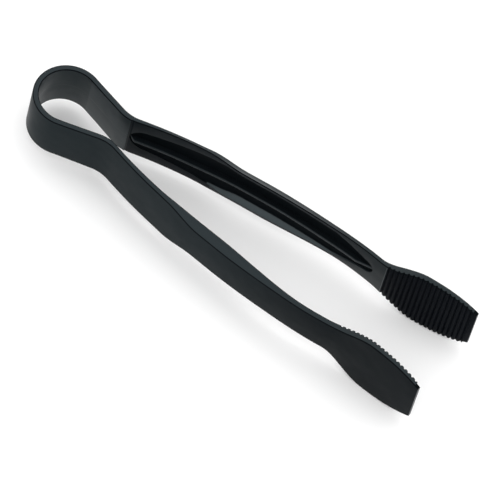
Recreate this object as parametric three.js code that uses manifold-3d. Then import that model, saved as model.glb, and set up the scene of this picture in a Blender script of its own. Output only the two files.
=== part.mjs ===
// Flat-grip kitchen tongs, moulded in one plastic: a springy bow, two channel-section arms and two
// leaf-shaped grip pads with cross serrations. Millimetres. The tongs lie on one side, so the band's
// width stands along Z, +X runs from the bow to the tips and Y is the opening. The origin is under
// the middle of the tongs, level with the lowest edge.
import * as THREE from 'three';
import * as BufferGeometryUtils from 'three/addons/utils/BufferGeometryUtils.js';
import Module from 'manifold-3d';

// ---------- driving dimensions ----------

// centre line of the band, from the middle of the bow's back to a tip
const LOOP_RADIUS = 15.3;
const LEG_ANGLE = 16;            // degrees that the legs close in towards the neck
const LEG_LENGTH = 20;
const NECK_RADIUS = 18;
const ARM_ROOT_ANGLE = 16.5;     // degrees that the arms open out from the neck
const ROOT_BEND_LENGTH = 46;
const MID_ANGLE = 5.7;
const MID_LENGTH = 19.5;
const FALL_LENGTH = 39;
const FALL_ANGLE = 1.5;
const DIP_LENGTH = 24;
const DIP_ANGLE = -6.8;
const LIFT_LENGTH = 12;
const PAD_ANGLE = 4.8;
const PAD_LENGTH = 39.6;

// band of the bow
const BOW_WIDTH = 25.4;
const BOW_THICKNESS = 2.8;

// arms: a channel section whose sides flare out towards the inner face
const ARM_ROOT_WIDTH = 26.6;
const ARM_OUTER_WIDTH = 19.6;
const ROOT_FLARE_WIDTH = 28.4;
const MID_FLARE_WIDTH = 25.7;
const END_FLARE_WIDTH = 21.2;
const ARM_ROOT_THICKNESS = 2.4;
const ARM_DEPTH = 4.4;
const ARM_END_THICKNESS = 2.55;
const THINNING_LEAD = 3;         // before the neck bend
const THINNING_RUN_ON = 11;      // after the neck bend
const DEEPENING_LEAD = 18;       // before the end of the root bend
const DEEPENING_LENGTH = 27;
const NARROWING_LENGTH = 19;     // ends where the deepening ends
const SHALLOWING_RUN_ON = 9;     // after the fall

// pocket in each arm's inner face: round at both ends, bounded by the side walls in between
const FLOOR_THICKNESS = 1.5;
const WALL_THICKNESS = 1.7;
const POCKET_ROOT_MARGIN = 2.5;  // before the end of the neck bend
const POCKET_ROOT_HALF = 7;
const POCKET_ROOT_ROUND = 9;
const POCKET_END_MARGIN = 7.5;   // solid band between the pocket and the first tooth
const POCKET_END_HALF = 4.2;
const POCKET_END_ROUND = 5;
const ROUND_REST = 0.12;         // share of its height that a rounded pocket end keeps at its very end

// rib along the middle of the pocket, sloped down to the floor at both ends
const RIB_THICKNESS = 1.5;
const RIB_HEIGHT = 4;            // from the arm's outer face
const RIB_ROOT_SLOPE = 2.5;
const RIB_END_SLOPE = 9;

// grip pads
const PAD_WIDTH = 36.2;
const TIP_WIDTH = 25;
const PAD_NARROW_WIDTH = 20;
const PAD_THICKNESS = 3.65;
const TIP_THICKNESS = 2.4;
const PAD_GROWTH_LENGTH = 25;
const PAD_TAPER_POWER = 2.5;
const FIRST_TOOTH_LEAD = 6;      // after the dip
const TOOTH_PITCH = 2.35;
const TOOTH_DEPTH = 0.7;
const GROOVE_WIDTH = 1.6;
const TIP_LAND = 2.2;            // smooth lip beyond the last tooth, level with the groove roots

// where the flexing band is parted, and the clearance between neighbours
const BACK_HALF_LENGTH = 9.15;
const NECK_PART_LEAD = 3;        // the leg ends this far before the middle of the neck bend
const PAD_PART_LEAD = 2;         // the arm ends this far after the dip
const PART_GAP = 0.3;

// how the shapes are made
const CUTTER_EXCESS = 1;         // how far a cutter stands proud of the face it cuts
const FACET_LENGTH = 2.5;        // along the band
const WELD_DISTANCE = 1e-5;

const wasm = await Module();
wasm.setup();

const blackPlastic = new THREE.MeshStandardMaterial({ color: 0x23272a, roughness: 0.42, metalness: 0 });

// ---------- centre line ----------

const radians = THREE.MathUtils.degToRad;

function bend(length, fromAngle, toAngle) {
  return { length, turn: radians(toAngle - fromAngle) };
}

const CENTRE_LINE = [
  bend(LOOP_RADIUS * radians(90 + LEG_ANGLE), 90, -LEG_ANGLE),
  bend(LEG_LENGTH, 0, 0),
  bend(NECK_RADIUS * radians(LEG_ANGLE + ARM_ROOT_ANGLE), -LEG_ANGLE, ARM_ROOT_ANGLE),
  bend(ROOT_BEND_LENGTH, ARM_ROOT_ANGLE, MID_ANGLE),
  bend(MID_LENGTH, 0, 0),
  bend(FALL_LENGTH, MID_ANGLE, FALL_ANGLE),
  bend(DIP_LENGTH, FALL_ANGLE, DIP_ANGLE),
  bend(LIFT_LENGTH, DIP_ANGLE, PAD_ANGLE),
  bend(PAD_LENGTH, 0, 0),
];

// distance along the centre line at the end of each stretch
const [LOOP_END, LEG_END, NECK_END, ROOT_BEND_END, MID_END, FALL_END, DIP_END, LIFT_END, TIP] =
  CENTRE_LINE.map((stretch, i) => CENTRE_LINE.slice(0, i + 1).reduce((sum, part) => sum + part.length, 0));

// point and heading on the centre line of the far side, at a distance from the bow's back
function centreLine(along) {
  let x = BOW_THICKNESS / 2;
  let y = 0;
  let heading = Math.PI / 2;
  let left = along;
  for (const { length, turn } of CENTRE_LINE) {
    const part = Math.min(left, length);
    const turned = turn * part / length;
    if (turn === 0) {
      x += part * Math.cos(heading);
      y += part * Math.sin(heading);
    } else {
      const radius = length / turn;
      x += radius * (Math.sin(heading + turned) - Math.sin(heading));
      y -= radius * (Math.cos(heading + turned) - Math.cos(heading));
    }
    heading += turned;
    left -= part;
  }
  // past the tip, where only cutters reach, the line runs straight on
  return { x: x + left * Math.cos(heading), y: y + left * Math.sin(heading), heading };
}

// a negative distance lies on the near side, the far side's mirror image
function bandFrame(along) {
  if (along >= 0) return centreLine(along);
  const { x, y, heading } = centreLine(-along);
  return { x, y: -y, heading: Math.PI - heading };
}

// ---------- section of the band ----------

function ramp(along, from, to) {
  return THREE.MathUtils.smoothstep(along, from, to);
}

const THIN_START = LEG_END - THINNING_LEAD;
const THIN_END = NECK_END + THINNING_RUN_ON;
const DEEP_START = ROOT_BEND_END - DEEPENING_LEAD;
const DEEP_END = DEEP_START + DEEPENING_LENGTH;
const NARROW_START = DEEP_END - NARROWING_LENGTH;
const SHALLOW_END = FALL_END + SHALLOWING_RUN_ON;
const FIRST_TOOTH = DIP_END + FIRST_TOOTH_LEAD;

function thickness(along) {
  const distance = Math.abs(along);
  if (distance >= LIFT_END) {
    return THREE.MathUtils.lerp(PAD_THICKNESS, TIP_THICKNESS, (distance - LIFT_END) / PAD_LENGTH);
  }
  const root = (BOW_THICKNESS - ARM_ROOT_THICKNESS) * ramp(distance, THIN_START, THIN_END);
  const deep = (ARM_DEPTH - ARM_ROOT_THICKNESS) * ramp(distance, DEEP_START, DEEP_END);
  const shallow = (ARM_DEPTH - ARM_END_THICKNESS) * ramp(distance, MID_END, SHALLOW_END);
  const pad = (PAD_THICKNESS - ARM_END_THICKNESS) * ramp(distance, DIP_END, LIFT_END);
  return BOW_THICKNESS - root + deep - shallow + pad;
}

function padWidth(along) {
  const widest = DIP_END + PAD_GROWTH_LENGTH;
  if (along < widest) return (PAD_WIDTH - PAD_NARROW_WIDTH) * ramp(along, DIP_END, widest);
  const taper = ((along - widest) / (TIP - widest)) ** PAD_TAPER_POWER;
  return PAD_WIDTH - PAD_NARROW_WIDTH - (PAD_WIDTH - TIP_WIDTH) * taper;
}

function outerWidth(along) {
  const distance = Math.abs(along);
  const root = (ARM_ROOT_WIDTH - BOW_WIDTH) * ramp(distance, LOOP_END, NECK_END);
  const waist = (ARM_ROOT_WIDTH - ARM_OUTER_WIDTH) * ramp(distance, NARROW_START, DEEP_END);
  const end = (PAD_NARROW_WIDTH - ARM_OUTER_WIDTH) * ramp(distance, SHALLOW_END, DIP_END);
  return BOW_WIDTH + root - waist + end + (distance > DIP_END ? padWidth(distance) : 0);
}

function innerWidth(along) {
  const distance = Math.abs(along);
  const flare = (ROOT_FLARE_WIDTH - BOW_WIDTH) * ramp(distance, LOOP_END, NARROW_START);
  const middle = (ROOT_FLARE_WIDTH - MID_FLARE_WIDTH) * ramp(distance, NARROW_START, DEEP_END);
  const end = (MID_FLARE_WIDTH - END_FLARE_WIDTH) * ramp(distance, MID_END, SHALLOW_END);
  const pad = (END_FLARE_WIDTH - PAD_NARROW_WIDTH) * ramp(distance, DIP_END, LIFT_END);
  return BOW_WIDTH + flare - middle - end - pad + (distance > DIP_END ? padWidth(distance) : 0);
}

// half the width at a depth below the outer face: the sides lean out towards the inner face
function halfWidth(along, depth) {
  return THREE.MathUtils.lerp(outerWidth(along), innerWidth(along), depth / thickness(along)) / 2;
}

// A bar that follows the band. section(along) gives its outer and inner depth, and halfSpan(along,
// depth) its lower and upper height at that depth.
function bar(from, to, section, halfSpan) {
  const steps = Math.ceil((to - from) / FACET_LENGTH);
  const geometry = new THREE.BoxGeometry(1, 1, 1, steps, 1, 1);
  const vertices = geometry.attributes.position;
  for (let i = 0; i < vertices.count; i += 1) {
    const along = from + (vertices.getX(i) + 0.5) * (to - from);
    const [outer, inner] = section(along);
    const depth = vertices.getY(i) > 0 ? outer : inner;
    const [low, high] = halfSpan(along, depth);
    const { x, y, heading } = bandFrame(along);
    const offset = thickness(along) / 2 - depth;
    const height = vertices.getZ(i) > 0 ? high : low;
    vertices.setXYZ(i, x - offset * Math.sin(heading), y + offset * Math.cos(heading), height);
  }
  return geometry;
}

function fullSection(along) {
  return [0, thickness(along)];
}

function fullSpan(along, depth) {
  const half = halfWidth(along, depth);
  return [-half, half];
}

// ---------- joining and cutting ----------

function solidFrom(geometry) {
  const bare = geometry.clone();
  bare.deleteAttribute('normal');
  bare.deleteAttribute('uv');
  const merged = BufferGeometryUtils.mergeVertices(bare, WELD_DISTANCE);
  const mesh = new wasm.Mesh({
    numProp: 3,
    vertProperties: new Float32Array(merged.attributes.position.array),
    triVerts: new Uint32Array(merged.index.array),
  });
  return new wasm.Manifold(mesh);
}

function geometryFrom(solid) {
  const mesh = solid.getMesh();
  const geometry = new THREE.BufferGeometry();
  geometry.setAttribute('position', new THREE.BufferAttribute(new Float32Array(mesh.vertProperties), 3));
  geometry.setIndex(new THREE.BufferAttribute(new Uint32Array(mesh.triVerts), 1));
  geometry.computeVertexNormals();
  return geometry;
}

// ---------- pieces ----------

function bowPiece(from, to) {
  return bar(from, to, fullSection, fullSpan);
}

const POCKET_START = NECK_END - POCKET_ROOT_MARGIN;
const POCKET_END = FIRST_TOOTH - POCKET_END_MARGIN;

// half the height of the pocket's outline
function pocketHalf(along) {
  const rootEnd = POCKET_START + POCKET_ROOT_ROUND;
  const endStart = POCKET_END - POCKET_END_ROUND;
  const wall = (place) => innerWidth(place) / 2 - WALL_THICKNESS;
  if (along < rootEnd) return round((rootEnd - along) / POCKET_ROOT_ROUND) * POCKET_ROOT_HALF;
  if (along > endStart) return round((along - endStart) / POCKET_END_ROUND) * POCKET_END_HALF;
  if (along < ROOT_BEND_END) {
    return THREE.MathUtils.mapLinear(along, rootEnd, ROOT_BEND_END, POCKET_ROOT_HALF, wall(ROOT_BEND_END));
  }
  if (along > FALL_END) {
    return THREE.MathUtils.mapLinear(along, FALL_END, endStart, wall(FALL_END), POCKET_END_HALF);
  }
  return wall(along);
}

// height of a rounded end, from 1 where it starts to a small rest at its very end
function round(share) {
  return Math.max(ROUND_REST, Math.sqrt(Math.max(0, 1 - share ** 2)));
}

// the pocket's walls lean as the arm's sides do
function pocket() {
  const section = (along) => [FLOOR_THICKNESS, thickness(along) + CUTTER_EXCESS];
  const span = (along, depth) => {
    const half = pocketHalf(along) * halfWidth(along, depth) / (innerWidth(along) / 2);
    return [-half, half];
  };
  return bar(POCKET_START, POCKET_END, section, span);
}

function rib() {
  const root = FLOOR_THICKNESS / 2;
  const section = (along) => {
    const rise = Math.min(1, (along - POCKET_START) / RIB_ROOT_SLOPE, (POCKET_END - along) / RIB_END_SLOPE);
    return [root, THREE.MathUtils.lerp(FLOOR_THICKNESS, RIB_HEIGHT, rise)];
  };
  return bar(POCKET_START, POCKET_END, section, () => [-RIB_THICKNESS / 2, RIB_THICKNESS / 2]);
}

function armPiece(from, to) {
  const body = solidFrom(bar(from, to, fullSection, fullSpan));
  return geometryFrom(body.subtract(solidFrom(pocket())).add(solidFrom(rib())));
}

// a V groove across the whole pad at one place along it
function groove(along) {
  const { x, y, heading } = centreLine(along);
  const face = -thickness(along) / 2;
  const open = GROOVE_WIDTH / 2 * (TOOTH_DEPTH + CUTTER_EXCESS) / TOOTH_DEPTH;
  const outline = new THREE.Shape([
    new THREE.Vector2(0, face + TOOTH_DEPTH),
    new THREE.Vector2(-open, face - CUTTER_EXCESS),
    new THREE.Vector2(open, face - CUTTER_EXCESS),
  ]);
  const length = PAD_WIDTH + 2 * CUTTER_EXCESS;
  const cutter = new THREE.ExtrudeGeometry(outline, { depth: length, bevelEnabled: false });
  return cutter.translate(0, 0, -length / 2).rotateZ(heading).translate(x, y, 0);
}

function padPiece(from, to) {
  const lip = (along) => [thickness(along) - TOOTH_DEPTH, thickness(along) + CUTTER_EXCESS];
  const wide = PAD_WIDTH / 2 + CUTTER_EXCESS;
  let pad = solidFrom(bar(from, to, fullSection, fullSpan));
  pad = pad.subtract(solidFrom(bar(to - TIP_LAND, to + CUTTER_EXCESS, lip, () => [-wide, wide])));
  for (let along = FIRST_TOOTH; along < to - TIP_LAND - GROOVE_WIDTH / 2; along += TOOTH_PITCH) {
    pad = pad.subtract(solidFrom(groove(along)));
  }
  return geometryFrom(pad);
}

// ---------- assembly ----------

const tongs = new THREE.Group();

function addPiece(name, geometry, turned = false) {
  const mesh = new THREE.Mesh(geometry, blackPlastic.clone());
  mesh.name = name;
  if (turned) mesh.rotation.x = Math.PI;
  tongs.add(mesh);
}

const LEG_PART = (LEG_END + NECK_END) / 2 - NECK_PART_LEAD;
const PAD_PART = DIP_END + PAD_PART_LEAD;
const HALF_GAP = PART_GAP / 2;

addPiece('bow_back', bowPiece(-BACK_HALF_LENGTH + HALF_GAP, BACK_HALF_LENGTH - HALF_GAP));

const sidePieces = {
  bow_shoulder: bowPiece(BACK_HALF_LENGTH + HALF_GAP, LOOP_END - HALF_GAP),
  bow_leg: bowPiece(LOOP_END + HALF_GAP, LEG_PART - HALF_GAP),
  arm: armPiece(LEG_PART + HALF_GAP, PAD_PART - HALF_GAP),
  grip_pad: padPiece(PAD_PART + HALF_GAP, TIP),
};

// each piece is alike above and below its middle, so half a turn about X gives the near side
for (const [name, geometry] of Object.entries(sidePieces)) {
  addPiece(`far_${name}`, geometry);
  addPiece(`near_${name}`, geometry, true);
}

const bounds = new THREE.Box3().setFromObject(tongs);
tongs.position.set(-(bounds.min.x + bounds.max.x) / 2, 0, -bounds.min.z);

export default tongs;
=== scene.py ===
# Kitchen tongs moulded in one black plastic, lying on one side: a springy bow, two channel-section arms
# and two serrated grip pads. Lengths are in metres. A piece is first modelled straight, with x along the
# band, +y outwards and z across its width, and is then bent round the centre line of the tongs.
import math

import bmesh
import bpy
from mathutils import Matrix, Vector


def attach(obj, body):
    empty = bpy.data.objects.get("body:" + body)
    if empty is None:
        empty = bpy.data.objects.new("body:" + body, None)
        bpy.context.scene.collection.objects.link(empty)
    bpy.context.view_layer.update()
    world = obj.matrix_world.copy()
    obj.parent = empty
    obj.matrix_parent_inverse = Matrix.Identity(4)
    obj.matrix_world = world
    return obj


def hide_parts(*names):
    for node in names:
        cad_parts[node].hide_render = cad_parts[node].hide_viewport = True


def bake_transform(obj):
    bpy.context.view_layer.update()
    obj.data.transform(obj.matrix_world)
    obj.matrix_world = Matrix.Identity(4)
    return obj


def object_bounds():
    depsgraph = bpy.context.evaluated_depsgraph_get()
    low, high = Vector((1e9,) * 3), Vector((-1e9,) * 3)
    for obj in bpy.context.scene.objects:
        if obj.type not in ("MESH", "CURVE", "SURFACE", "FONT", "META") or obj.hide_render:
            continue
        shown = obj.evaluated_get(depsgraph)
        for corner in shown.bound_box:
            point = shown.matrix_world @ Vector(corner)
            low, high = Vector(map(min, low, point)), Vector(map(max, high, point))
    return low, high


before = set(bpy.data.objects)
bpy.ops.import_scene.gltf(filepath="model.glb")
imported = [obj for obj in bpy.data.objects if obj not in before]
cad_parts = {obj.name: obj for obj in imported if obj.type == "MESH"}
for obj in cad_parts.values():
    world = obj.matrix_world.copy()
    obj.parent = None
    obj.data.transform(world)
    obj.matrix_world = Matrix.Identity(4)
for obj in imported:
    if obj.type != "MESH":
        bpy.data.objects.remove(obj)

cad_low, cad_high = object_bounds()
MM = 0.001

# ---------- bow back ----------
# The middle of the springy bow: a flat strip of black nylon-like plastic, as moulded, with softly
# rounded edges. The whole bow is one strip with it; this stretch stays still as the arms move.

BOW_WIDTH = 25.4 * MM
BOW_THICKNESS = 2.8 * MM
BACK_REACH = 4 * MM              # to each side of the middle
EDGE_RADIUS = 0.4 * MM
EDGE_SEGMENTS = 3
LOOP_SPACING = 0.7 * MM          # between the mesh's cross loops
MID_HEIGHT = (cad_low.z + cad_high.z) / 2

# the centre line from the middle of the bow's back to a tip: the sizes of its stretches, and the
# headings between them in degrees, where 0 is straight towards the tips
LOOP_RADIUS = 15.3 * MM
LEG_LENGTH = 20 * MM
NECK_RADIUS = 18 * MM
ROOT_BEND_LENGTH = 46 * MM
MID_LENGTH = 19.5 * MM
FALL_LENGTH = 39 * MM
DIP_LENGTH = 24 * MM
LIFT_LENGTH = 12 * MM
PAD_LENGTH = 39.6 * MM
BACK_ANGLE = 90
LEG_ANGLE = -16
ARM_ROOT_ANGLE = 16.5
MID_ANGLE = 5.7
FALL_ANGLE = 1.5
DIP_ANGLE = -6.8
PAD_ANGLE = 4.8
LOOP_END = LOOP_RADIUS * math.radians(BACK_ANGLE - LEG_ANGLE)
LEG_END = LOOP_END + LEG_LENGTH
NECK_END = LEG_END + NECK_RADIUS * math.radians(ARM_ROOT_ANGLE - LEG_ANGLE)
ROOT_BEND_END = NECK_END + ROOT_BEND_LENGTH
MID_END = ROOT_BEND_END + MID_LENGTH
FALL_END = MID_END + FALL_LENGTH
DIP_END = FALL_END + DIP_LENGTH
LIFT_END = DIP_END + LIFT_LENGTH
TIP = LIFT_END + PAD_LENGTH
STRETCHES = [
    (LOOP_END, BACK_ANGLE, LEG_ANGLE),
    (LEG_END, LEG_ANGLE, LEG_ANGLE),
    (NECK_END, LEG_ANGLE, ARM_ROOT_ANGLE),
    (ROOT_BEND_END, ARM_ROOT_ANGLE, MID_ANGLE),
    (MID_END, MID_ANGLE, MID_ANGLE),
    (FALL_END, MID_ANGLE, FALL_ANGLE),
    (DIP_END, FALL_ANGLE, DIP_ANGLE),
    (LIFT_END, DIP_ANGLE, PAD_ANGLE),
    (TIP, PAD_ANGLE, PAD_ANGLE),
]


def place(along):
    """The centre line's point at a distance from the middle of the bow's back, on the far side."""
    if along < 0:
        mirrored = place(-along)
        return Vector((mirrored.x, -mirrored.y, mirrored.z))
    point = Vector((cad_low.x + BOW_THICKNESS / 2, 0, MID_HEIGHT))
    start = 0
    for end, first_heading, last_heading in STRETCHES:
        part = min(along, end) - start
        if part <= 0:
            break
        heading = math.radians(first_heading)
        turn = math.radians(last_heading - first_heading) * part / (end - start)
        chord = part if turn == 0 else part * math.sin(turn / 2) / (turn / 2)
        point += chord * Vector((math.cos(heading + turn / 2), math.sin(heading + turn / 2), 0))
        start = end
    return point


# kinds of surface on a bar, in the order of its material slots: a new bar has the first four, and the
# inner face of the bow's rounded part then becomes the fifth
SIDE, OUTER, INNER, EDGE, LOOP_INNER = range(5)
ALMOST_ONE = 0.999


def surface_of(normal):
    """The kind of surface that a face of a straight bar with rounded long edges belongs to."""
    if max(abs(normal.x), abs(normal.z)) > ALMOST_ONE:
        return SIDE
    if abs(normal.y) < ALMOST_ONE:
        return EDGE
    return OUTER if normal.y > 0 else INNER


STATION_DIGITS = 7               # stations are told apart to a tenth of a micrometre


def bar(name, stations, thickness, width, outer, inner, outer_half, inner_half, radius=EDGE_RADIUS):
    """A straight closed bar with rounded long edges and a loop at each station. At a station, outer and
    inner give the y of its two faces, and outer_half and inner_half half the width there."""
    bpy.ops.object.select_all(action="DESELECT")
    length = stations[-1] - stations[0]
    middle = (stations[0] + stations[-1]) / 2
    bpy.ops.mesh.primitive_cube_add(size=1, location=(middle, 0, 0), scale=(length, thickness, width))
    piece = bpy.context.object
    piece.name = name
    piece.data.name = name
    bpy.ops.object.transform_apply(location=True, rotation=True, scale=True)
    bpy.ops.object.mode_set(mode="EDIT")
    bpy.ops.mesh.select_mode(type="EDGE")
    mesh = bmesh.from_edit_mesh(piece.data)
    for edge in mesh.edges:
        first, second = edge.verts
        edge.select_set(abs(first.co.x - second.co.x) > length / 2)
    bmesh.update_edit_mesh(piece.data)
    bpy.ops.mesh.bevel(offset=radius, segments=EDGE_SEGMENTS, affect="EDGES")
    mesh = bmesh.from_edit_mesh(piece.data)
    for face in mesh.faces:
        face.material_index = surface_of(face.normal)
    bmesh.update_edit_mesh(piece.data)
    for station in stations[1:-1]:
        bpy.ops.mesh.select_all(action="SELECT")
        bpy.ops.mesh.bisect(plane_co=(station, 0, 0), plane_no=(1, 0, 0))
    bpy.ops.mesh.select_mode(type="VERT")
    half_loops = {}
    for vertex in bmesh.from_edit_mesh(piece.data).verts:
        key = (round(vertex.co.x, STATION_DIGITS), 1 if vertex.co.y > 0 else -1)
        half_loops.setdefault(key, []).append(vertex.index)
    for (station, side), members in half_loops.items():
        bpy.ops.mesh.select_all(action="DESELECT")
        mesh = bmesh.from_edit_mesh(piece.data)
        mesh.verts.ensure_lookup_table()
        for index in members:
            mesh.verts[index].select_set(True)
        bmesh.update_edit_mesh(piece.data)
        face, half = (outer, outer_half) if side == 1 else (inner, inner_half)
        size = (1, 1, 2 * half(station) / width)
        bpy.ops.transform.resize(value=size, center_override=(station, 0, 0))
        bpy.ops.transform.translate(value=(0, face(station) - side * thickness / 2, 0))
    bpy.ops.object.mode_set(mode="OBJECT")
    return piece


def evenly(start, end, spacing=LOOP_SPACING):
    """Stations from start to end, evenly spaced and no further apart than the spacing."""
    count = math.ceil((end - start) / spacing)
    return [start + (end - start) * i / count for i in range(count + 1)]


def guide_curve(name):
    """The tongs' centre line as a curve, begun at the near end of the bow's back."""
    curve = bpy.data.curves.new(name, "CURVE")
    curve.dimensions = "3D"
    curve.twist_mode = "Z_UP"
    line = curve.splines.new("POLY")
    points = evenly(-BACK_REACH, TIP, LOOP_SPACING / 2)
    line.points.add(len(points) - 1)
    for point, along in zip(line.points, points):
        point.co = (*place(along), 1)
    guide = bpy.data.objects.new(name, curve)
    bpy.context.collection.objects.link(guide)
    return guide


centre_line = guide_curve("centre_line")
SHARP_ANGLE = math.radians(35)


def bend_round(piece):
    """Bends a straight piece round the centre line, and smooths all but its sharp edges."""
    bpy.ops.object.select_all(action="DESELECT")
    piece.select_set(True)
    bpy.context.view_layer.objects.active = piece
    bpy.ops.object.mode_set(mode="EDIT")
    bpy.ops.mesh.select_all(action="SELECT")
    bpy.ops.transform.translate(value=(BACK_REACH, 0, 0))
    bpy.ops.mesh.normals_make_consistent(inside=False)
    bpy.ops.object.mode_set(mode="OBJECT")
    bending = piece.modifiers.new("bend", "CURVE")
    bending.object = centre_line
    bpy.ops.object.modifier_apply(modifier=bending.name)
    bpy.ops.object.shade_smooth_by_angle(angle=SHARP_ANGLE)


def bow_strip(name, start, end):
    """A length of the bow, where the strip's section never changes."""
    def strip_outer(along):
        return BOW_THICKNESS / 2

    def strip_inner(along):
        return -BOW_THICKNESS / 2

    def strip_half(along):
        return BOW_WIDTH / 2

    stations = evenly(start, end)
    section = (strip_outer, strip_inner, strip_half, strip_half)
    return bar(name, stations, BOW_THICKNESS, BOW_WIDTH, *section)


PLASTIC_IOR = 1.5
SHEEN_TINT = (0.8, 0.95, 1, 1)
GRAIN_PER_METRE = 2600
GRAIN_DETAIL = 3
GRAIN_HEIGHT = 0.05 * MM
GRAIN_STRENGTH = 0.25
FLOW_MARKS_PER_METRE = 45
FLOW_DETAIL = 2
FLOW_SPREAD = 30 * MM            # how far a flow mark shifts the changes of painted shade and of sheen along the tongs
WAVE_HEIGHT = 3 * MM
WAVE_STRENGTH = 0.35
PARTING_LINE_WIDTH = 0.6 * MM
PARTING_LINE_HEIGHT = 0.2 * MM
PARTING_LINE_STRENGTH = 0.15
PAINTED_SHADE_SPAN = (-10 * MM, 90 * MM)  # where along the tongs the painted shade changes the tint, darkening it towards the tips
SHEEN_SPAN = (-108 * MM, -86 * MM)


def moulded_black(name, specular, roughness, tints, parting_line=False):
    """Spark-textured black nylon: a fine even grain with faint flow marks, and a satin sheen. Roughness
    is given at the bow's back and past its legs, and the tint up to the arms' middle and at the pads;
    the change of tint along the tongs is painted shade."""
    material = bpy.data.materials.new(name)
    material.use_nodes = True
    nodes = material.node_tree.nodes
    link = material.node_tree.links.new
    shader = nodes["Principled BSDF"]
    shader.inputs["IOR"].default_value = PLASTIC_IOR
    shader.inputs["Specular IOR Level"].default_value = specular
    shader.inputs["Specular Tint"].default_value = SHEEN_TINT
    place_on_piece = nodes.new("ShaderNodeTexCoord")

    grain = nodes.new("ShaderNodeTexNoise")
    grain.inputs["Scale"].default_value = GRAIN_PER_METRE
    grain.inputs["Detail"].default_value = GRAIN_DETAIL
    flow = nodes.new("ShaderNodeTexNoise")
    flow.inputs["Scale"].default_value = FLOW_MARKS_PER_METRE
    flow.inputs["Detail"].default_value = FLOW_DETAIL
    for pattern in (grain, flow):
        link(place_on_piece.outputs["Object"], pattern.inputs["Vector"])

    along = nodes.new("ShaderNodeSeparateXYZ")
    link(place_on_piece.outputs["Object"], along.inputs["Vector"])
    marks = nodes.new("ShaderNodeMath")
    marks.operation = "MULTIPLY_ADD"
    marks.inputs[1].default_value = FLOW_SPREAD
    link(flow.outputs["Fac"], marks.inputs[0])
    link(along.outputs["X"], marks.inputs[2])

    def along_tongs(start, end, first, last):
        change = nodes.new("ShaderNodeMapRange")
        change.interpolation_type = "SMOOTHSTEP"
        change.inputs["From Min"].default_value = start
        change.inputs["From Max"].default_value = end
        change.inputs["To Min"].default_value = first
        change.inputs["To Max"].default_value = last
        link(marks.outputs["Value"], change.inputs["Value"])
        return change.outputs["Result"]

    # painted shade: the base colour goes from the first tint to the second along the tongs, mostly
    # darkening
    tint = nodes.new("ShaderNodeMix")
    tint.data_type = "RGBA"
    tint.inputs["A"].default_value = tints[0]
    tint.inputs["B"].default_value = tints[1]
    link(along_tongs(*PAINTED_SHADE_SPAN, 0, 1), tint.inputs["Factor"])
    link(tint.outputs["Result"], shader.inputs["Base Color"])
    link(along_tongs(*SHEEN_SPAN, *roughness), shader.inputs["Roughness"])

    waves = nodes.new("ShaderNodeBump")
    waves.inputs["Strength"].default_value = WAVE_STRENGTH
    waves.inputs["Distance"].default_value = WAVE_HEIGHT
    link(flow.outputs["Fac"], waves.inputs["Height"])
    texture = nodes.new("ShaderNodeBump")
    texture.inputs["Strength"].default_value = GRAIN_STRENGTH
    texture.inputs["Distance"].default_value = GRAIN_HEIGHT
    link(grain.outputs["Fac"], texture.inputs["Height"])
    link(waves.outputs["Normal"], texture.inputs["Normal"])
    link(texture.outputs["Normal"], shader.inputs["Normal"])
    if parting_line:
        from_middle = nodes.new("ShaderNodeMath")
        from_middle.operation = "SUBTRACT"
        from_middle.inputs[1].default_value = MID_HEIGHT
        link(along.outputs["Z"], from_middle.inputs[0])
        line = nodes.new("ShaderNodeMapRange")
        line.interpolation_type = "SMOOTHSTEP"
        line.inputs["From Min"].default_value = -PARTING_LINE_WIDTH / 2
        line.inputs["From Max"].default_value = PARTING_LINE_WIDTH / 2
        link(from_middle.outputs["Value"], line.inputs["Value"])
        ridge = nodes.new("ShaderNodeBump")
        ridge.inputs["Strength"].default_value = PARTING_LINE_STRENGTH
        ridge.inputs["Distance"].default_value = PARTING_LINE_HEIGHT
        link(line.outputs["Result"], ridge.inputs["Height"])
        link(ridge.outputs["Normal"], waves.inputs["Normal"])
    return material


SIDE_TINTS = ((0.0055, 0.0085, 0.0105, 1), (0.0045, 0.007, 0.0085, 1))
# painted shade: the outer faces are much darker, by tint and specular level, and darken further towards
# the tips
OUTER_SHADE_TINTS = ((0.0085, 0.0125, 0.0145, 1), (0.0012, 0.0025, 0.0036, 1))
INNER_TINTS = ((0.006, 0.0095, 0.0115, 1), (0.0045, 0.007, 0.009, 1))
# the rounded edges' darker finish, also used as painted shade on the arm's step and the pad's lip
EDGE_AND_SHADE_TINTS = ((0.002, 0.003, 0.004, 1), (0.0018, 0.0027, 0.0035, 1))
SIDE_SPECULAR = 0.29
OUTER_SHADE_SPECULAR = 0.07
LOOP_INNER_SPECULAR = 0.46
INNER_SPECULAR = 0.65
EDGE_AND_SHADE_SPECULAR = 0.02
FINE_ROUGHNESS = (0.36, 0.42)
OUTER_ROUGHNESS = (0.26, 0.5)
EDGE_ROUGHNESS = (0.5, 0.5)
side_plastic = moulded_black("side_black", SIDE_SPECULAR, FINE_ROUGHNESS, SIDE_TINTS)
outer_shade_plastic = moulded_black("outer_shade_black", OUTER_SHADE_SPECULAR, OUTER_ROUGHNESS, OUTER_SHADE_TINTS)
loop_finish = (LOOP_INNER_SPECULAR, FINE_ROUGHNESS, INNER_TINTS)
loop_inner_plastic = moulded_black("loop_inner_black", *loop_finish, parting_line=True)
inner_finish = (INNER_SPECULAR, FINE_ROUGHNESS, INNER_TINTS)
inner_plastic = moulded_black("inner_black", *inner_finish, parting_line=True)
edge_and_shade_plastic = moulded_black("edge_and_shade_black", EDGE_AND_SHADE_SPECULAR, EDGE_ROUGHNESS, EDGE_AND_SHADE_TINTS)


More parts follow.
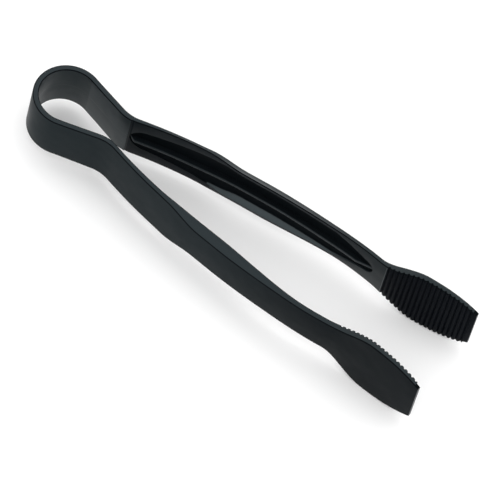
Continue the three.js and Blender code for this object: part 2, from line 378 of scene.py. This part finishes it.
def finish_and_paint_shade(piece):
    """The inner faces reflect more than the sides, and the outer faces carry painted shade: far less
    reflection and a darker tint. The inner face of the rounded part of the bow is a little duller,
    and the rounded edges are darker and duller."""
    for plastic in (side_plastic, outer_shade_plastic, inner_plastic, edge_and_shade_plastic, loop_inner_plastic):
        piece.data.materials.append(plastic)
    for face in piece.data.polygons:
        if face.material_index == INNER and face.center.x < LOOP_END:
            face.material_index = LOOP_INNER


back = bow_strip("bow_back", -BACK_REACH, BACK_REACH)
finish_and_paint_shade(back)
bend_round(back)
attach(back, "bow")
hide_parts("bow_back")

# ---------- bow shoulders ----------
# The rounded stretches of the bow on each side of its back. They are the same moulded strip, which flexes
# as the tongs are squeezed, but these pieces are only placed, not made to bend.

SHOULDER_END = 18.7 * MM
BLEND_MARGIN = 1.3 * MM          # how far in from each end of a flexing piece flex_between works out its points


def near_copy(piece, name):
    """The near side's twin, turned half round, because its shape is alike above and below its middle."""
    bpy.ops.object.select_all(action="DESELECT")
    piece.select_set(True)
    bpy.context.view_layer.objects.active = piece
    bpy.ops.object.duplicate()
    twin = bpy.context.object
    twin.name = name
    twin.data.name = name
    bpy.ops.object.mode_set(mode="EDIT")
    bpy.ops.mesh.select_all(action="SELECT")
    middle = (0, 0, MID_HEIGHT)
    bpy.ops.transform.rotate(value=math.pi, orient_axis="X", center_override=middle)
    bpy.ops.object.mode_set(mode="OBJECT")
    return twin


def on_side(side, point):
    """The far side's point, or its mirror image on the near side."""
    return point if side == "far" else Vector((point.x, -point.y, point.z))


def flex_between(piece, side, start, end):
    """Works out where the piece's bend would start and stop, a margin in from each end of its stretch of
    the centre line, but uses neither; it only bakes the piece's transform.
    """
    first = on_side(side, place(start + BLEND_MARGIN))
    last = on_side(side, place(end - BLEND_MARGIN))
    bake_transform(piece)


far_shoulder = bow_strip("far_bow_shoulder", BACK_REACH, SHOULDER_END)
finish_and_paint_shade(far_shoulder)
bend_round(far_shoulder)
near_shoulder = near_copy(far_shoulder, "near_bow_shoulder")
for side, shoulder in (("far", far_shoulder), ("near", near_shoulder)):
    flex_between(shoulder, side, BACK_REACH, SHOULDER_END)
    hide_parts(f"{side}_bow_shoulder")

# ---------- bow legs ----------
# The two flat legs of the bow, which close in towards the neck. The strip starts to widen here, more on
# its inner face than on its outer one. Its section then changes smoothly all the way to the tip.

ARM_START = 39 * MM              # where a leg ends and its arm begins
ARM_ROOT_WIDTH = 26.6 * MM
ARM_OUTER_WIDTH = 19.6 * MM
ROOT_FLARE_WIDTH = 28.4 * MM
MID_FLARE_WIDTH = 25.7 * MM
END_FLARE_WIDTH = 21.2 * MM
ARM_ROOT_THICKNESS = 2.4 * MM
ARM_DEPTH = 4.4 * MM
ARM_END_THICKNESS = 2.55 * MM
PAD_WIDTH = 36.18 * MM
PAD_NARROW_WIDTH = 20 * MM
TIP_WIDTH = 25 * MM
PAD_THICKNESS = 3.65 * MM
TIP_THICKNESS = 2.4 * MM
THIN_START = LEG_END - 3 * MM
THIN_END = NECK_END + 11 * MM
DEEP_START = ROOT_BEND_END - 18 * MM
DEEP_END = DEEP_START + 27 * MM
WAIST_START = DEEP_END - 19 * MM
SHALLOW_END = FALL_END + 9 * MM
PAD_WIDEST = DIP_END + 25 * MM
PAD_TAPER_POWER = 2.5


def ramp(along, start, end):
    """Rises smoothly from 0 at the start to 1 at the end."""
    share = min(1, max(0, (along - start) / (end - start)))
    return share * share * (3 - 2 * share)


def thickness(along):
    """From the outer face to the inner one."""
    if along >= LIFT_END:
        return PAD_THICKNESS - (PAD_THICKNESS - TIP_THICKNESS) * (along - LIFT_END) / (TIP - LIFT_END)
    root = (BOW_THICKNESS - ARM_ROOT_THICKNESS) * ramp(along, THIN_START, THIN_END)
    deep = (ARM_DEPTH - ARM_ROOT_THICKNESS) * ramp(along, DEEP_START, DEEP_END)
    shallow = (ARM_DEPTH - ARM_END_THICKNESS) * ramp(along, MID_END, SHALLOW_END)
    pad = (PAD_THICKNESS - ARM_END_THICKNESS) * ramp(along, DIP_END, LIFT_END)
    return BOW_THICKNESS - root + deep - shallow + pad


def pad_width(along):
    """How much wider than the arm's end the pad is."""
    if along < PAD_WIDEST:
        return (PAD_WIDTH - PAD_NARROW_WIDTH) * ramp(along, DIP_END, PAD_WIDEST)
    taper = min(1, (along - PAD_WIDEST) / (TIP - PAD_WIDEST)) ** PAD_TAPER_POWER
    return PAD_WIDTH - PAD_NARROW_WIDTH - (PAD_WIDTH - TIP_WIDTH) * taper


def outer_half(along):
    """Half the width of the outer face."""
    root = (ARM_ROOT_WIDTH - BOW_WIDTH) * ramp(along, LOOP_END, NECK_END)
    waist = (ARM_ROOT_WIDTH - ARM_OUTER_WIDTH) * ramp(along, WAIST_START, DEEP_END)
    end = (PAD_NARROW_WIDTH - ARM_OUTER_WIDTH) * ramp(along, SHALLOW_END, DIP_END)
    return (BOW_WIDTH + root - waist + end + pad_width(along)) / 2


def inner_half(along):
    """Half the width of the inner face."""
    flare = (ROOT_FLARE_WIDTH - BOW_WIDTH) * ramp(along, LOOP_END, WAIST_START)
    middle = (ROOT_FLARE_WIDTH - MID_FLARE_WIDTH) * ramp(along, WAIST_START, DEEP_END)
    end = (MID_FLARE_WIDTH - END_FLARE_WIDTH) * ramp(along, MID_END, SHALLOW_END)
    pad = (END_FLARE_WIDTH - PAD_NARROW_WIDTH) * ramp(along, DIP_END, LIFT_END)
    return (BOW_WIDTH + flare - middle - end - pad + pad_width(along)) / 2


def outer_face(along):
    return thickness(along) / 2


def inner_face(along):
    return -thickness(along) / 2


def band(name, stations, inner=inner_face):
    """A length of the band, with the section that changes from the legs to the tips."""
    return bar(name, stations, BOW_THICKNESS, BOW_WIDTH, outer_face, inner, outer_half, inner_half)


far_leg = band("far_bow_leg", evenly(SHOULDER_END, ARM_START))
finish_and_paint_shade(far_leg)
bend_round(far_leg)
near_leg = near_copy(far_leg, "near_bow_leg")
for side, leg in (("far", far_leg), ("near", near_leg)):
    flex_between(leg, side, SHOULDER_END, ARM_START)
    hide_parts(f"{side}_bow_leg")

# ---------- arms ----------
# Each arm is a shallow channel open to the inside: a floor, two flared side walls and a rib along the
# middle. Its outer surface is spark-textured, and its pocket has painted shade: near-black, almost without
# sheen.

FIRST_TOOTH = DIP_END + 6 * MM
TOOTH_PITCH = 2.35 * MM
ARM_END = FIRST_TOOTH - TOOTH_PITCH / 2
ARM_FLEX_END = NECK_END + 3 * MM
FLOOR_THICKNESS = 1.5 * MM
WALL_THICKNESS = 1.7 * MM
POCKET_START = NECK_END - 2.5 * MM
POCKET_END = FIRST_TOOTH - 7.5 * MM
POCKET_ROOT_HALF = 7 * MM
POCKET_ROOT_ROUND = 9 * MM
POCKET_END_HALF = 4.2 * MM
POCKET_END_ROUND = 5 * MM
ROUND_REST = 0.12                # share of its height that a rounded pocket end keeps at its very end
CUTTER_EXCESS = 1 * MM           # how far the pocket's cutter stands out of the arm


def pocket_half(along):
    """Half the height of the pocket's outline at the arm's inner face."""
    def rounded(share):
        return max(ROUND_REST, math.sqrt(max(0, 1 - share ** 2)))

    def wall(station):
        return inner_half(station) - WALL_THICKNESS

    root_end = POCKET_START + POCKET_ROOT_ROUND
    end_start = POCKET_END - POCKET_END_ROUND
    if along < root_end:
        return rounded((root_end - along) / POCKET_ROOT_ROUND) * POCKET_ROOT_HALF
    if along > end_start:
        return rounded((along - end_start) / POCKET_END_ROUND) * POCKET_END_HALF
    if along < ROOT_BEND_END:
        share = (along - root_end) / (ROOT_BEND_END - root_end)
        return POCKET_ROOT_HALF + (wall(ROOT_BEND_END) - POCKET_ROOT_HALF) * share
    if along > FALL_END:
        share = (along - FALL_END) / (end_start - FALL_END)
        return wall(FALL_END) + (POCKET_END_HALF - wall(FALL_END)) * share
    return wall(along)


def half_at_depth(along, depth):
    """Half the arm's width at a depth below its outer face."""
    share = depth / thickness(along)
    return outer_half(along) + (inner_half(along) - outer_half(along)) * share


def pocket_cutter(stations):
    """A bar of the pocket's shape, which stands out of the arm's inner face. Its sides flare as the
    arm's do."""
    def floor(along):
        return thickness(along) / 2 - FLOOR_THICKNESS

    def above(along):
        return -thickness(along) / 2 - CUTTER_EXCESS

    def floor_half(along):
        return pocket_half(along) * half_at_depth(along, FLOOR_THICKNESS) / inner_half(along)

    def above_half(along):
        depth = thickness(along) + CUTTER_EXCESS
        return pocket_half(along) * half_at_depth(along, depth) / inner_half(along)

    blank = (ARM_DEPTH, 2 * POCKET_ROOT_HALF)
    return bar("pocket", stations, *blank, floor, above, floor_half, above_half)


RIB_THICKNESS = 1.5 * MM
RIB_HEIGHT = 4 * MM              # from the arm's outer face
RIB_ROOT_SLOPE = 2.5 * MM
RIB_END_SLOPE = 9 * MM
RIB_EDGE_RADIUS = 0.25 * MM


def pocket_rib(stations):
    """The rib, rooted halfway into the floor, and sloping down to it at both ends."""
    def root(along):
        return (thickness(along) - FLOOR_THICKNESS) / 2

    def crest(along):
        rise = min(1, (along - POCKET_START) / RIB_ROOT_SLOPE, (POCKET_END - along) / RIB_END_SLOPE)
        return thickness(along) / 2 - FLOOR_THICKNESS - (RIB_HEIGHT - FLOOR_THICKNESS) * rise

    def half(along):
        return RIB_THICKNESS / 2

    return bar("rib", stations, ARM_DEPTH, RIB_THICKNESS, root, crest, half, half, RIB_EDGE_RADIUS)


WELD_DISTANCE = 0.005 * MM       # closer points than this, left by a cut, become one


def combine(piece, tool, operation):
    """Joins the tool to the piece, or cuts it away, and removes the tool."""
    bpy.context.view_layer.objects.active = piece
    boolean = piece.modifiers.new(operation.lower(), "BOOLEAN")
    boolean.operation = operation
    boolean.object = tool
    boolean.solver = "EXACT"
    boolean.material_mode = "TRANSFER"
    bpy.ops.object.modifier_apply(modifier=boolean.name)
    bpy.data.objects.remove(tool)
    piece.select_set(True)
    bpy.ops.object.mode_set(mode="EDIT")
    bpy.ops.mesh.select_all(action="SELECT")
    bpy.ops.mesh.remove_doubles(threshold=WELD_DISTANCE)
    bpy.ops.mesh.dissolve_degenerate(threshold=WELD_DISTANCE)
    bpy.ops.object.mode_set(mode="OBJECT")


# painted shade: the pocket shows near-black because it has almost no specular reflection
POCKET_SPECULAR = 0.005
POLISH_WAVES_PER_METRE = 160
POLISH_DETAIL = 1
POLISH_WAVE_HEIGHT = 0.1 * MM
POLISH_WAVE_STRENGTH = 0.1
POCKET_SHADE_DARK = (0.0038, 0.0052, 0.0062, 1)
POCKET_SHADE_LIGHT = (0.0054, 0.0072, 0.0086, 1)
POCKET_ROUGHNESS = (0.16, 0.24)


def pocket_shade_black():
    """The pocket's near-black, which is painted shade: almost no specular reflection, with the faint
    waviness of a hand-polished mould.
    """
    material = bpy.data.materials.new("pocket_shade_black")
    material.use_nodes = True
    nodes = material.node_tree.nodes
    link = material.node_tree.links.new
    shader = nodes["Principled BSDF"]
    shader.inputs["IOR"].default_value = PLASTIC_IOR
    shader.inputs["Specular IOR Level"].default_value = POCKET_SPECULAR
    place_on_piece = nodes.new("ShaderNodeTexCoord")
    waves = nodes.new("ShaderNodeTexNoise")
    waves.inputs["Scale"].default_value = POLISH_WAVES_PER_METRE
    waves.inputs["Detail"].default_value = POLISH_DETAIL
    link(place_on_piece.outputs["Object"], waves.inputs["Vector"])
    tint = nodes.new("ShaderNodeMix")
    tint.data_type = "RGBA"
    tint.inputs["A"].default_value = POCKET_SHADE_DARK
    tint.inputs["B"].default_value = POCKET_SHADE_LIGHT
    link(waves.outputs["Fac"], tint.inputs["Factor"])
    link(tint.outputs["Result"], shader.inputs["Base Color"])
    polish = nodes.new("ShaderNodeMapRange")
    polish.inputs["To Min"].default_value = POCKET_ROUGHNESS[0]
    polish.inputs["To Max"].default_value = POCKET_ROUGHNESS[1]
    link(waves.outputs["Fac"], polish.inputs["Value"])
    link(polish.outputs["Result"], shader.inputs["Roughness"])
    texture = nodes.new("ShaderNodeBump")
    texture.inputs["Strength"].default_value = POLISH_WAVE_STRENGTH
    texture.inputs["Distance"].default_value = POLISH_WAVE_HEIGHT
    link(waves.outputs["Fac"], texture.inputs["Height"])
    link(texture.outputs["Normal"], shader.inputs["Normal"])
    return material


# the lands are what is left of an arm's inner face round its pocket
LAND_SPECULAR = 0.17
# painted shade: the lower land near the neck reflects less than the upper one
SHADED_LAND_SPECULAR = 0.05
RIB_SPECULAR = 0.3
LAND_ROUGHNESS = (0.4, 0.4)
LAND_TINTS = ((0.0062, 0.0086, 0.0107, 1), (0.0045, 0.007, 0.0085, 1))
pocket_shade_plastic = pocket_shade_black()
land_plastic = moulded_black("land_black", LAND_SPECULAR, LAND_ROUGHNESS, LAND_TINTS)
shaded_land_plastic = moulded_black("shaded_land_black", SHADED_LAND_SPECULAR, LAND_ROUGHNESS, LAND_TINTS)
rib_plastic = moulded_black("rib_black", RIB_SPECULAR, FINE_ROUGHNESS, INNER_TINTS)
LAND, SHADED_LAND = 5, 6           # the arms' own material slots, after those of every bar
SHADED_LAND_END = ROOT_BEND_END - 6 * MM

ARM_STEP = NECK_END - 3.5 * MM   # the finer finish of the bow's inner face ends here, at a shallow step
ARM_STEP_DEPTH = 0.3 * MM
ARM_STEP_LENGTH = 0.5 * MM
ARM_STEP_FADE = 40 * MM          # the step fades out from this distance to twice as far


def arm_inner_face(along):
    """The arm's inner face lies a shallow step below that of the bow, until the step fades out."""
    step = ARM_STEP_DEPTH * ramp(along, ARM_STEP, ARM_STEP + ARM_STEP_LENGTH)
    rest = ramp(along, ARM_STEP + ARM_STEP_FADE, ARM_STEP + 2 * ARM_STEP_FADE)
    return inner_face(along) + step * (1 - rest)


arm_stations = sorted(evenly(ARM_START, ARM_END) + [ARM_STEP, ARM_STEP + ARM_STEP_LENGTH])
far_arm = band("far_arm", arm_stations, inner=arm_inner_face)
finish_and_paint_shade(far_arm)
far_arm.data.materials.append(land_plastic)
far_arm.data.materials.append(shaded_land_plastic)
for face in far_arm.data.polygons:
    if face.material_index == INNER and face.center.x > ARM_STEP:
        # painted shade: the upper half of the step's riser takes the dark edge finish, as a dark line
        on_upper_riser = face.center.x < ARM_STEP + ARM_STEP_LENGTH and face.center.z > 0
        face.material_index = EDGE if on_upper_riser else LAND

# the pocket's walls carry its painted shade up to a slanting line, which starts at the arm's inner face
# and reaches the floor further on; beyond it they have the inner faces' finish
WALL_SHADE_LINE_START = ROOT_BEND_END - 9.7 * MM
WALL_SHADE_LINE_LENGTH = 14.6 * MM
WALL_SHADE_LINE_DEPTH = thickness(WALL_SHADE_LINE_START) - FLOOR_THICKNESS
WALL_SHADE_LINE_Y = -thickness(WALL_SHADE_LINE_START) / 4          # of the line, halfway along it
BEYOND_WALL_SHADE = 4                # the cutter's material slot for walls beyond that line
pocket_stations = evenly(POCKET_START, POCKET_END)
pocket = pocket_cutter(pocket_stations)
for plastic in (pocket_shade_plastic, pocket_shade_plastic, pocket_shade_plastic, pocket_shade_plastic, inner_plastic):
    pocket.data.materials.append(plastic)
split_middle = Vector((WALL_SHADE_LINE_START + WALL_SHADE_LINE_LENGTH / 2, WALL_SHADE_LINE_Y, 0))
split_normal = Vector((WALL_SHADE_LINE_DEPTH, -WALL_SHADE_LINE_LENGTH, 0))
bpy.ops.object.mode_set(mode="EDIT")
bpy.ops.mesh.select_all(action="SELECT")
bpy.ops.mesh.bisect(plane_co=split_middle, plane_no=split_normal)
bpy.ops.object.mode_set(mode="OBJECT")
for face in pocket.data.polygons:
    beyond = split_normal.dot(face.center - split_middle) > 0
    if face.material_index == SIDE and beyond and face.center.x < POCKET_END - CUTTER_EXCESS:
        face.material_index = BEYOND_WALL_SHADE
combine(far_arm, pocket, "DIFFERENCE")
rib = pocket_rib(pocket_stations)
# the rib's sides take the pocket's painted shade, and its crest and edges the rib's own finish
for plastic in (pocket_shade_plastic, pocket_shade_plastic, rib_plastic, rib_plastic):
    rib.data.materials.append(plastic)
combine(far_arm, rib, "UNION")
# painted shade: the lower land near the neck takes the shaded land finish
for face in far_arm.data.polygons:
    if face.material_index == LAND and face.center.z < 0 and face.center.x < SHADED_LAND_END:
        face.material_index = SHADED_LAND
bend_round(far_arm)
near_arm = near_copy(far_arm, "near_arm")
for side, arm in (("far", far_arm), ("near", near_arm)):
    flex_between(arm, side, ARM_START, ARM_FLEX_END)
    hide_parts(f"{side}_arm")

# ---------- grip pads ----------
# The leaf-shaped tips that hold the food. Their inner faces are serrated right across, with a smooth lip
# at the tip, and their backs are smooth.

TOOTH_DEPTH = 0.7 * MM
GROOVE_HALF = 0.8 * MM
GROOVE_SHARES = (-1, -0.6, -0.3, 0, 0.3, 0.6, 1)
TIP_LIP = 2.2 * MM
LIP_STEP_HALF = 0.1 * MM
# painted shade: the serrated faces get a darker tint and almost no specular reflection
SERRATED_SHADE_SPECULAR = 0.02
SERRATED_ROUGHNESS = (0.4, 0.4)
SERRATED_SHADE_TINTS = ((0.0022, 0.003, 0.0045, 1), (0.0028, 0.0038, 0.0058, 1))
serrated_shade_finish = (SERRATED_SHADE_SPECULAR, SERRATED_ROUGHNESS, SERRATED_SHADE_TINTS)
serrated_shade_plastic = moulded_black("serrated_shade_black", *serrated_shade_finish)
SERRATED = 5                     # the pads' own material slot, after those of every bar
FACING_UP_OR_DOWN = 0.5          # the least z of such a face's normal
LIP_START = TIP - TIP_LIP
groove_count = math.floor((LIP_START - GROOVE_HALF - FIRST_TOOTH) / TOOTH_PITCH) + 1
grooves = [FIRST_TOOTH + i * TOOTH_PITCH for i in range(groove_count)]


def serrated_face(along):
    """The inner face's y, cut by the grooves and by the lip."""
    if along > LIP_START:
        cut = TOOTH_DEPTH
    else:
        nearest = min(abs(along - groove) for groove in grooves)
        cut = TOOTH_DEPTH * ramp(GROOVE_HALF - nearest, 0, GROOVE_HALF)
    return -thickness(along) / 2 + cut


pad_stations = [ARM_END]
for groove in grooves:
    pad_stations += [groove + GROOVE_HALF * share for share in GROOVE_SHARES]
pad_stations += [LIP_START - LIP_STEP_HALF, LIP_START + LIP_STEP_HALF, TIP - TIP_LIP / 2, TIP]
far_pad = band("far_grip_pad", pad_stations, inner=serrated_face)
finish_and_paint_shade(far_pad)
far_pad.data.materials.append(serrated_shade_plastic)
for face in far_pad.data.polygons:
    if face.material_index == INNER and face.center.x > FIRST_TOOTH - GROOVE_HALF:
        face.material_index = SERRATED
    # painted shadow: the lip's faces that face up or down take the dark edge finish
    elif abs(face.normal.z) > FACING_UP_OR_DOWN and face.center.x > LIP_START:
        face.material_index = EDGE
bend_round(far_pad)
near_pad = near_copy(far_pad, "near_grip_pad")
for side, pad in (("far", far_pad), ("near", near_pad)):
    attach(pad, f"{side}_arm")
    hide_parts(f"{side}_grip_pad")

bpy.data.objects.remove(centre_line)

# ---------- floor, light and camera ----------
# A plain pale paper floor, and a white studio that is one big softbox overhead, a little dimmer towards
# the horizon. The camera looks down on the tongs with a long lens, from the side of the near arm.

FLOOR_SIZE = 6
FLOOR_DROP = 0.05 * MM           # below the pads, so that they don't cut the floor
PAPER_WHITE = (0.93, 0.93, 0.93, 1)
PAPER_ROUGHNESS = 0.9
PAPER_SPECULAR = 0.1
bpy.ops.object.select_all(action="DESELECT")
bpy.ops.mesh.primitive_plane_add(size=FLOOR_SIZE, location=(0, 0, -FLOOR_DROP))
floor = bpy.context.object
floor.name = "floor"
paper = bpy.data.materials.new("paper")
paper.use_nodes = True
paper_shader = paper.node_tree.nodes["Principled BSDF"]
paper_shader.inputs["Base Color"].default_value = PAPER_WHITE
paper_shader.inputs["Roughness"].default_value = PAPER_ROUGHNESS
paper_shader.inputs["Specular IOR Level"].default_value = PAPER_SPECULAR
floor.data.materials.append(paper)

HORIZON_TOP = 0.3                # sine of the height up to which the studio stays dim
SOFTBOX_EDGE = 0.6               # sine of the height from which it is at its brightest
HORIZON_LIGHT = 0.95
SOFTBOX_LIGHT = 1.53
STUDIO_WHITE = (1, 1, 1, 1)
world = bpy.data.worlds.new("studio")
world.use_nodes = True
world_nodes = world.node_tree.nodes
world_link = world.node_tree.links.new
direction = world_nodes.new("ShaderNodeTexCoord")
height = world_nodes.new("ShaderNodeSeparateXYZ")
softbox = world_nodes.new("ShaderNodeMapRange")
softbox.interpolation_type = "SMOOTHSTEP"
softbox.inputs["From Min"].default_value = HORIZON_TOP
softbox.inputs["From Max"].default_value = SOFTBOX_EDGE
softbox.inputs["To Min"].default_value = HORIZON_LIGHT
softbox.inputs["To Max"].default_value = SOFTBOX_LIGHT
world_link(direction.outputs["Generated"], height.inputs["Vector"])
world_link(height.outputs["Z"], softbox.inputs["Value"])
world_link(softbox.outputs["Result"], world_nodes["Background"].inputs["Strength"])
world_nodes["Background"].inputs["Color"].default_value = STUDIO_WHITE
bpy.context.scene.world = world
bpy.context.scene.view_settings.view_transform = "Standard"

AZIMUTH = math.radians(19.6)
ELEVATION = math.radians(58.04)
ROLL = math.radians(17.14)
DISTANCE = 2.5859
AIM = Vector((15.24, 0, 18.09)) * MM
SHIFT_LEFT = 7.066 * MM          # the camera is moved this far, in its own frame, from facing the aim
SHIFT_DOWN = 2.380 * MM
LENS_MM = 406.8
FARTHEST_SEEN = 20
back_axis = Vector((
    math.sin(AZIMUTH) * math.cos(ELEVATION),
    -math.cos(AZIMUTH) * math.cos(ELEVATION),
    math.sin(ELEVATION),
))
level_right = Vector((math.cos(AZIMUTH), math.sin(AZIMUTH), 0))
level_up = back_axis.cross(level_right)
right_axis = level_right * math.cos(ROLL) + level_up * math.sin(ROLL)
up_axis = level_up * math.cos(ROLL) - level_right * math.sin(ROLL)
camera = bpy.data.objects.new("camera", bpy.data.cameras.new("camera"))
bpy.context.collection.objects.link(camera)
camera.data.lens = LENS_MM
camera.data.clip_end = FARTHEST_SEEN
axes = Matrix((right_axis, up_axis, back_axis)).transposed().to_4x4()
spot = AIM - right_axis * SHIFT_LEFT - up_axis * SHIFT_DOWN + back_axis * DISTANCE
camera.matrix_world = Matrix.Translation(spot) @ axes
bpy.context.scene.camera = camera
